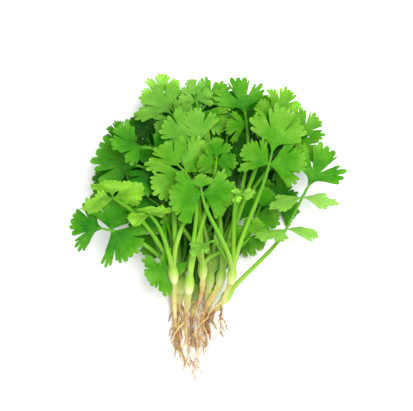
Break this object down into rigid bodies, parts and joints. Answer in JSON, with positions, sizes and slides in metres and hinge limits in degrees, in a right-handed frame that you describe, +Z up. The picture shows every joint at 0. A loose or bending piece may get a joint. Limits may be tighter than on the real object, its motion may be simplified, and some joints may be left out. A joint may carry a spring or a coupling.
{
  "type": "bunch of coriander",
  "caption": "Bunch of fresh coriander plants with lobed leaves, slim stalks and bare roots, lying on its side in a heap.",
  "frame": {"origin": "middle of the bunch's box, on the surface it lies on", "axes": "+Y from the roots to the leaf tips, +X to the right with the roots towards the viewer, +Z up from the surface"},
  "size_m": [0.2089, 0.2341, 0.0846],
  "materials": {
    "leaf": "satin",
    "root": "matte"
  },
  "bodies": {
    "root": {"plant_01_greens": "leaf", "plant_01_root": "root", "plant_02_greens": "leaf", "plant_02_root": "root", "plant_03_greens": "leaf", "plant_03_root": "root", "plant_04_greens": "leaf", "plant_04_root": "root", "plant_05_greens": "leaf", "plant_05_root": "root", "plant_06_greens": "leaf", "plant_06_root": "root", "plant_07_greens": "leaf", "plant_07_root": "root", "plant_08_greens": "leaf", "plant_08_root": "root", "plant_09_greens": "leaf", "plant_09_root": "root", "plant_10_greens": "leaf", "plant_10_root": "root", "plant_11_greens": "leaf", "plant_11_root": "root", "plant_12_greens": "leaf", "plant_12_root": "root"}
  },
  "joints": []
}
